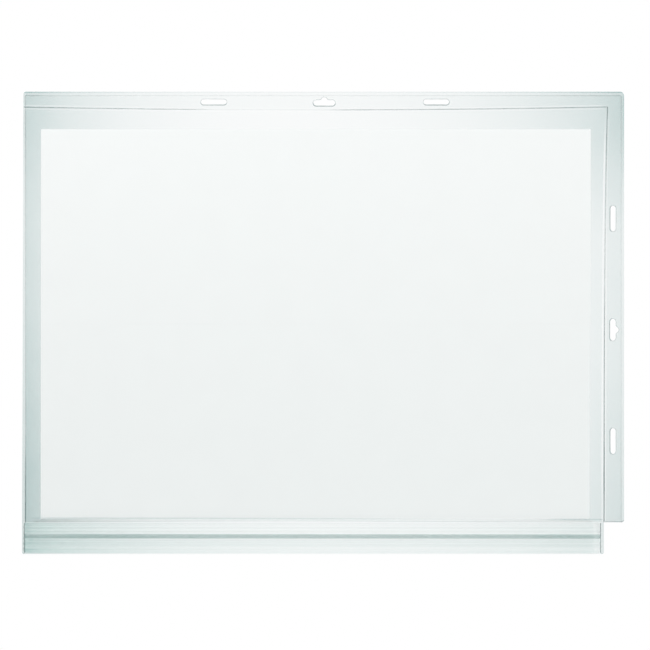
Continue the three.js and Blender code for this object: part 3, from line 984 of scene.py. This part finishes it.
class POCKET_OT_slot_rims(bpy.types.Operator):
    """Make the cut rims round the six punched slots"""

    bl_idname = "pocket.slot_rims"
    bl_label = "Slot rims"

    def execute(self, context):
        weld = context.scene.pocket_weld
        tint = Vector(context.scene.pocket_film.tint)
        cut = bead_material("slot_rim", tint * 0.6, slot_cut_and_painted_shade)
        size = (weld.slot_radius, weld.flatness)
        upright = (0, math.pi / 2, 0)
        middle = SIDE_SLOTS_MIDDLE
        plain = [(p.x, p.y) for p in plain_slot()]
        euro = [(p.x, p.y) for p in euro_slot()]
        across = (2 * SLOT_SPACING, 0, 0)
        up = (0, 0, 2 * SLOT_SPACING)
        face = -FILM
        parts = [
            beads(plain, True, cut, *size, (TOP_PAIR - SLOT_SPACING, face, TOP_SLOTS), across, 2),
            beads(euro, True, cut, *size, (0, face, TOP_EURO)),
            beads(plain, True, cut, *size, (SIDE_SLOTS, face, middle - SLOT_SPACING), up, 2, upright),
            beads(euro, True, cut, *size, (SIDE_EURO, face, middle), turn=upright),
        ]
        piece = joined("slot_rims", parts)
        dress(piece, cut, "pocket")
        return {"FINISHED"}


def extruded(profile, stations, press):
    """A profile of depth, height and tone points, run along X and pressed at each station."""
    mesh = bmesh.new()
    layer = mesh.verts.layers.float.new("weld")
    rings = []
    for x in stations:
        ring = []
        for depth, height, tone in profile:
            y, z = press(x, depth, height)
            corner = mesh.verts.new((x, y, z))
            corner[layer] = tone
            ring.append(corner)
        rings.append(ring)
    for near, far in zip(rings, rings[1:]):
        for i in range(len(profile)):
            k = (i + 1) % len(profile)
            mesh.faces.new((near[i], near[k], far[k], far[i]))
    return mesh, rings


def strip_piece(name, profile, stations, press, closed_ends):
    """A piece that runs along the closure, closed at those of its ends that are its own."""
    mesh, rings = extruded(profile, stations, press)
    for end in closed_ends:
        face = mesh.faces.new(rings[end])
        bmesh.ops.triangulate(mesh, faces=[face])
    bmesh.ops.recalc_face_normals(mesh, faces=mesh.faces)
    return finished(name, mesh)


def rib(depth, centre, half, rise, tone):
    """A round-topped rib of a profile, drawn downward."""
    tip = depth - rise
    return [
        (depth, centre + half, tone),
        (tip + 0.4 * half, centre + half, tone),
        (tip, centre + 0.5 * half, tone),
        (tip, centre - 0.5 * half, tone),
        (tip + 0.4 * half, centre - half, tone),
        (depth, centre - half, tone),
    ]


def mirrored(points, sign):
    """Profile points on one side of the bead's middle, then the same points on its other side."""
    near = [(depth, BEAD + sign * half * MM, tone) for depth, half, tone in points]
    far = [(depth, BEAD - sign * half * MM, tone) for depth, half, tone in reversed(points)]
    return near + far


def groove_profile():
    """Rear strip: a flat base with two guide ribs and the groove's hooked jaws."""
    base = REAR_BASE
    tip = GROOVE_TIP
    back = -AIR
    jaw = [
        (base, 1.65, 0.9),
        (tip + 0.4 * MM, 1.65, 1.0),
        (tip + 0.1 * MM, 1.5, 1.0),
        (tip, 1.25, 1.0),
        (tip + 0.1 * MM, 1.0, 1.0),
        (tip + 0.3 * MM, 0.85, 1.0),
        (tip + 0.45 * MM, 0.85, 1.0),
        (tip + 0.55 * MM, 1.05, 1.0),
        (base, 1.05, 0.8),
    ]
    points = [(back, BOTTOM, 0.05), (back, BEAD - BEAD_OUTER, 0.0), (back, BEAD - BEAD_INNER, 1.0)]
    points += [(back, BEAD + BEAD_INNER, 1.0), (back, BEAD + BEAD_OUTER, 0.0), (back, STRIP_TOP, 0.05)]
    points += [(base, STRIP_TOP, 0.1), (base, STRIP_TOP - 0.8 * MM, 0.0)]
    points.append((base, BEAD + RIB_OFFSET + 1.2 * MM, 0.0))
    points += rib(base, BEAD + RIB_OFFSET, 0.3 * MM, 1.4 * MM, 0.1)
    points.append((base, BEAD + 2.0 * MM, 0.0))
    points += mirrored(jaw, 1)
    points.append((base, BEAD - 2.0 * MM, 0.0))
    points += rib(base, BEAD - RIB_OFFSET, 0.3 * MM, 1.4 * MM, 0.1)
    points.append((base, BEAD - RIB_OFFSET - 1.2 * MM, 0.0))
    points += [(base, BOTTOM + 1.0 * MM, 0.0), (base, BOTTOM, 0.05)]
    return points


def lip_profile():
    """Front lip: a flat strip with its tongue, its grip rib and a thin skin at the hinge."""
    back = LIP_BACK
    front = LIP_FRONT
    tip = TONGUE_TIP
    top = HINGE[2]
    foot = LIP_LOW.z
    grip = BOTTOM + 7.2 * MM
    band_foot = BOTTOM + 6.0 * MM
    band = 0.22
    tongue = [
        (back, 0.28, 1.0),
        (tip - 0.6 * MM, 0.28, 1.0),
        (tip - 0.45 * MM, 0.5, 1.0),
        (tip - 0.25 * MM, 0.5, 1.0),
        (tip, 0.15, 1.0),
    ]
    points = [(front + 0.3 * MM, foot, 0.3), (back - 0.1 * MM, foot, 0.3), (back, foot + 0.3 * MM, 0.0)]
    points += [(back, band_foot - 0.5 * MM, 0.08), (back, band_foot, band), (back, BEAD - BEAD_OUTER, band)]
    points.append((back, BEAD - BEAD_INNER, 1.0))
    points += mirrored(tongue, -1)
    points += [(back, BEAD + BEAD_INNER, 1.0), (back, BEAD + BEAD_OUTER, 0.0), (back, top - 1.8 * MM, 0.0)]
    points += [(front + 0.35 * MM, top - 0.3 * MM, 0.1), (front + 0.3 * MM, top, 0.1)]
    points += [(front, top, 0.1), (front, top - 0.6 * MM, 0.0)]
    points += [(front, BEAD + BEAD_OUTER, 0.0), (front, BEAD + BEAD_INNER, 1.0)]
    points += [(front - 0.12 * MM, BEAD + 0.9 * MM, 1.0), (front - 0.16 * MM, BEAD, 1.0)]
    points += [(front - 0.12 * MM, BEAD - 0.9 * MM, 1.0), (front, BEAD - BEAD_INNER, 1.0)]
    points += [(front, BEAD - BEAD_OUTER, band), (front, grip + 0.8 * MM, band)]
    points += rib(front, grip, 0.3 * MM, 0.2 * MM, band + 0.2)
    points += [(front, grip - 0.8 * MM, band), (front, band_foot - 0.5 * MM, 0.08)]
    points += [(front, foot + 0.9 * MM, 0.08), (front + 0.05 * MM, foot + 0.25 * MM, 0.3)]
    return points


def crush(x):
    """How far the welded ends are pressed flat at x: 1 in the weld, 0 along the open run."""
    inward = min(x - GROOVE_LOW.x, GROOVE_HIGH.x - x)
    return 1 - climb(inward - CRUSHED, CRUSH_RUN)


def wavy(x, z):
    """The uneven press marks in a crushed end."""
    return 0.03 * MM * math.sin(x * 4200 + 1.3 * math.sin(z * 900)) * crush(x)


def settled(x, height):
    """Height along the closure, whose tongue and groove run lower towards the right."""
    share = (x - GROOVE_LOW.x) / (GROOVE_HIGH.x - GROOVE_LOW.x)
    near = 1 - climb(abs(height - BEAD) - 2.2 * MM, 1.2 * MM)
    return height - (0.15 + 0.4 * share) * MM * near


def press_groove(x, depth, height):
    """The rear strip, pressed down to a thin plate in the welded ends."""
    flat = max(depth, PRESSED_GROOVE)
    y = depth + (flat - depth) * crush(x)
    if depth < -0.1 * MM:
        y += wavy(x, height)
    return y, min(settled(x, height), STRIP_TOP - 2.7 * MM * crush(x))


def press_lip(x, depth, height):
    """The lip, pressed onto the rear strip in the welded ends."""
    share = (depth - LIP_FRONT) / (0.7 * MM)
    flat = PRESSED_LIP + 0.6 * MM * min(max(share, 0), 1)
    y = depth + (flat - depth) * crush(x)
    if share < 0.5:
        y += wavy(x, height)
    return y, settled(x, height)


def end_stations(step):
    """Sections along the closure, close together where the ends are crushed."""
    fine = 0.35 * MM
    left = spread(GROOVE_LOW.x, GROOVE_LOW.x + CRUSHED + CRUSH_RUN, fine)
    right = spread(GROOVE_HIGH.x - CRUSHED - CRUSH_RUN, GROOVE_HIGH.x, fine)
    return left + spread(left[-1], right[0], step)[1:-1] + right


class POCKET_OT_groove_strip(bpy.types.Operator):
    """Make the rear strip of the closure, with its groove and its crushed ends"""

    bl_idname = "pocket.groove_strip"
    bl_label = "Groove strip"

    def execute(self, context):
        closure = context.scene.pocket_closure
        stations = end_stations(closure.step)
        piece = strip_piece("groove_strip", groove_profile(), stations, press_groove, (0, -1))
        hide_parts("rear_closure_strip")
        dress(piece, profile_material("groove_profile", closure, 0.14), "pocket")
        return {"FINISHED"}


class POCKET_OT_lip(bpy.types.Operator):
    """Make the lip as an open run between two end pieces at its welds"""

    bl_idname = "pocket.lip"
    bl_label = "Lip"

    def execute(self, context):
        closure = context.scene.pocket_closure
        material = profile_material("tongue_profile", closure, 0.66)
        stations = end_stations(closure.step)
        weld = CRUSHED + CRUSH_RUN
        left_weld = GROOVE_LOW.x + weld
        right_weld = GROOVE_HIGH.x - weld
        left_free = min(stations, key=lambda x: abs(x - left_weld - LIP_TWIST))
        right_free = min(stations, key=lambda x: abs(x - right_weld + LIP_TWIST))
        for name, first, last, closed_ends, twist in (
            ("lip_left_end", stations[0], left_free, (0,), (left_weld, left_free)),
            ("lip_run", left_free, right_free, (), None),
            ("lip_right_end", right_free, stations[-1], (-1,), (right_weld, right_free)),
        ):
            along = [x for x in stations if first <= x <= last]
            piece = strip_piece(name, lip_profile(), along, press_lip, closed_ends)
            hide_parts("front_closure_lip")
            dress(piece, material, None if twist else "front_lip")
            if twist:
                start, end = [(x, HINGE[1], HINGE[2]) for x in twist]
                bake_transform(piece)
                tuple(start)
                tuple(end)
        return {"FINISHED"}


class POCKET_OT_crimp_marks(bpy.types.Operator):
    """Make the crimp lines that the weld tool presses into the closure's ends"""

    bl_idname = "pocket.crimp_marks"
    bl_label = "Crimp marks"

    def execute(self, context):
        closure = context.scene.pocket_closure
        weld = context.scene.pocket_weld
        tint = Vector(context.scene.pocket_film.tint)
        faint = bead_material("crimp_line", tint * 0.7, even_haze(0.14))
        sharp = bead_material("end_line", tint * 0.4, even_haze(0.62))
        rows = spread(BOTTOM + 1.0 * MM, HINGE[2] - 0.4 * MM, 0.8 * MM)
        wave = [(0.16 * MM * math.sin(z * 1500), z) for z in rows]
        high = [point for point in wave if point[1] > BEAD + BEAD_HALF]
        step = (CRUSHED / closure.crimps, 0, 0)
        size = (0.5 * weld.radius, weld.flatness)
        left = (GROOVE_LOW.x + 1.4 * MM, CRIMP_FACE, 0)
        right = (GROOVE_HIGH.x - CRUSHED + 0.3 * MM, CRIMP_FACE, 0)
        parts = [beads(high, False, faint, *size, place, step, closure.crimps) for place in (left, right)]
        dress(joined("crimp_lines", parts), faint, "pocket")
        first = (GROOVE_LOW.x, CRIMP_FACE, 0)
        last = (GROOVE_HIGH.x - 0.3 * MM, CRIMP_FACE, 0)
        parts = [
            beads(wave, False, sharp, 1.2 * weld.radius, weld.flatness, first),
            beads(wave, False, sharp, 0.75 * weld.radius, weld.flatness, last),
        ]
        dress(joined("end_lines", parts), sharp, "pocket")
        return {"FINISHED"}


class POCKET_OT_sheet(bpy.types.Operator):
    """Make the white sheet that the pocket shows, with its soft fold"""

    bl_idname = "pocket.sheet"
    bl_label = "White sheet"

    def execute(self, context):
        middle = (SHEET_LOW.z + SHEET_HIGH.z) / 2
        columns = spread(SHEET_LOW.x, SHEET_HIGH.x, 12 * MM)
        below = spread(SHEET_LOW.z, middle - MM, 12 * MM)
        above = spread(middle + MM, SHEET_HIGH.z, 12 * MM)
        rows = below + [middle] + above
        mesh = bmesh.new()
        layers = []
        for face in (SHEET_LOW.y, SHEET_HIGH.y):
            grid = []
            for z in rows:
                lift = 0.05 * MM * peak(z, middle, 14 * MM) + AIR
                swell = [0.03 * MM * (1 + noise.noise(Vector((x * 11, 2.0, z * 11)))) for x in columns]
                low = climb(middle + 150 * MM - z, 300 * MM)
                left = SHEET_LOW.x + (1.0 - 0.3 * low) * MM
                right = SHEET_HIGH.x - 0.9 * MM * low
                share = (right - left) / (SHEET_HIGH.x - SHEET_LOW.x)
                across = [left + (x - SHEET_LOW.x) * share for x in columns]
                grid.append([mesh.verts.new((x, face - lift - s, z)) for x, s in zip(across, swell)])
            layers.append(grid)
        for grid in layers:
            for low, high in zip(grid, grid[1:]):
                for i in range(len(columns) - 1):
                    mesh.faces.new((low[i], low[i + 1], high[i + 1], high[i]))
        loop = [(0, i) for i in range(len(columns))]
        loop += [(k, len(columns) - 1) for k in range(1, len(rows))]
        loop += [(len(rows) - 1, i) for i in range(len(columns) - 2, -1, -1)]
        loop += [(k, 0) for k in range(len(rows) - 2, 0, -1)]
        for a, b in zip(loop, loop[1:] + loop[:1]):
            corners = [layers[0][a[0]][a[1]], layers[0][b[0]][b[1]]]
            corners += [layers[1][b[0]][b[1]], layers[1][a[0]][a[1]]]
            mesh.faces.new(corners)
        bmesh.ops.recalc_face_normals(mesh, faces=mesh.faces)
        piece = finished("white_sheet", mesh)
        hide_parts("insert_sheet")
        dress(piece, paper_material(), "insert")
        return {"FINISHED"}


def area_lamp(name, place, aim, size, power):
    """A large soft lamp turned towards a point."""
    light = bpy.data.lights.new(name, "AREA")
    light.shape = "DISK"
    light.size = size
    light.energy = power
    lamp = bpy.data.objects.new(name, light)
    lamp.location = place
    lamp.rotation_euler = (Vector(aim) - Vector(place)).to_track_quat("-Z", "Y").to_euler()
    bpy.context.scene.collection.objects.link(lamp)


def white_world(strength):
    """White behind the pocket and in its gloss, and an even soft light on it."""
    world = bpy.data.worlds.new("white_room")
    world.use_nodes = True
    tree = world.node_tree
    bare = tree.nodes["Background"]
    feed(bare, {"Color": WHITE, "Strength": strength})
    seen = fed_node(tree, "ShaderNodeBackground", {"Color": WHITE, "Strength": 1.0})
    rays = tree.nodes.new("ShaderNodeLightPath").outputs
    shown = most(rays["Is Camera Ray"], rays["Is Glossy Ray"], rays["Is Transmission Ray"])
    mix = fed_node(tree, "ShaderNodeMixShader", {"Fac": shown, 1: bare.outputs[0], 2: seen.outputs[0]})
    feed(tree.nodes["World Output"], {"Surface": mix.outputs[0]})
    bpy.context.scene.world = world


def pale_floor():
    """A pale round floor well below the hanging pocket, which melts into the white round it."""
    mesh = bmesh.new()
    bmesh.ops.create_circle(mesh, cap_ends=True, segments=96, radius=FLOOR_RADIUS)
    bmesh.ops.translate(mesh, verts=mesh.verts, vec=(0, 0, BOTTOM - FLOOR_DROP))
    floor = finished("pale_floor", mesh)
    material, shader, place = new_material("pale_floor")
    x, y, _ = split(place)
    from_middle = math_node("SQRT", plus(times(x, x), times(y, y)))
    feed(shader, {
        "Roughness": 0.85,
        "Base Color": uneven(place, 6.0, 2.0, 0.86, 0.88),
        "Alpha": ramp(from_middle, *FLOOR_FADE, 1.0, 0.0),
    })
    floor.data.materials.append(material)


class POCKET_OT_stage(bpy.types.Operator):
    """Make the white surroundings, the lamps and the camera"""

    bl_idname = "pocket.stage"
    bl_label = "Stage"

    def execute(self, context):
        stage = context.scene.pocket_stage
        scene = context.scene
        scene.view_settings.view_transform = "Standard"
        white_world(stage.sky)
        pale_floor()
        centre = VIEW_CENTRE
        area_lamp("key", centre + Vector((-0.5, -1.1, 1.4)), centre, 1.2, stage.key)
        area_lamp("fill", centre + Vector((1.5, -1.6, 0.3)), centre, 1.2, stage.fill)
        area_lamp("back", centre + Vector((0.4, 1.8, 1.2)), centre, 1.4, stage.back)
        camera = bpy.data.cameras.new("photo_view")
        camera.sensor_width = SENSOR
        camera.lens = SENSOR * VIEW_DISTANCE / VIEW_WIDTH
        holder = bpy.data.objects.new("photo_view", camera)
        holder.location = centre + Vector((0, -VIEW_DISTANCE, 0))
        holder.rotation_euler = (math.pi / 2, 0, 0)
        scene.collection.objects.link(holder)
        scene.camera = holder
        return {"FINISHED"}


OPERATORS = (
    POCKET_OT_rear_film,
    POCKET_OT_front_film,
    POCKET_OT_weld_beads,
    POCKET_OT_slot_rims,
    POCKET_OT_groove_strip,
    POCKET_OT_lip,
    POCKET_OT_crimp_marks,
    POCKET_OT_sheet,
    POCKET_OT_stage,
)


class POCKET_PT_panel(bpy.types.Panel):
    """Lists the pocket's pieces and their settings"""

    bl_idname = "POCKET_PT_panel"
    bl_label = "Display pocket"
    bl_space_type = "VIEW_3D"
    bl_region_type = "UI"
    bl_category = "Pocket"

    def draw(self, context):
        scene = context.scene
        for settings in (scene.pocket_film, scene.pocket_closure, scene.pocket_weld, scene.pocket_stage):
            box = self.layout.box()
            for name in settings.__annotations__:
                box.prop(settings, name)
        for operator in OPERATORS:
            self.layout.operator(operator.bl_idname)


SETTINGS = {
    "pocket_film": FilmSettings,
    "pocket_closure": ClosureSettings,
    "pocket_weld": WeldSettings,
    "pocket_stage": StageSettings,
}


def register():
    for group in SETTINGS.values():
        bpy.utils.register_class(group)
    for operator in OPERATORS:
        bpy.utils.register_class(operator)
    bpy.utils.register_class(POCKET_PT_panel)
    for name, group in SETTINGS.items():
        setattr(bpy.types.Scene, name, PointerProperty(type=group))


def unregister():
    for name in SETTINGS:
        delattr(bpy.types.Scene, name)
    bpy.utils.unregister_class(POCKET_PT_panel)
    for operator in reversed(OPERATORS):
        bpy.utils.unregister_class(operator)
    for group in SETTINGS.values():
        bpy.utils.unregister_class(group)


def main():
    register()
    bpy.ops.pocket.rear_film()
    bpy.ops.pocket.front_film()
    bpy.ops.pocket.weld_beads()
    bpy.ops.pocket.slot_rims()
    bpy.ops.pocket.groove_strip()
    bpy.ops.pocket.lip()
    bpy.ops.pocket.crimp_marks()
    bpy.ops.pocket.sheet()
    bpy.ops.pocket.stage()


if __name__ == "__main__":
    main()
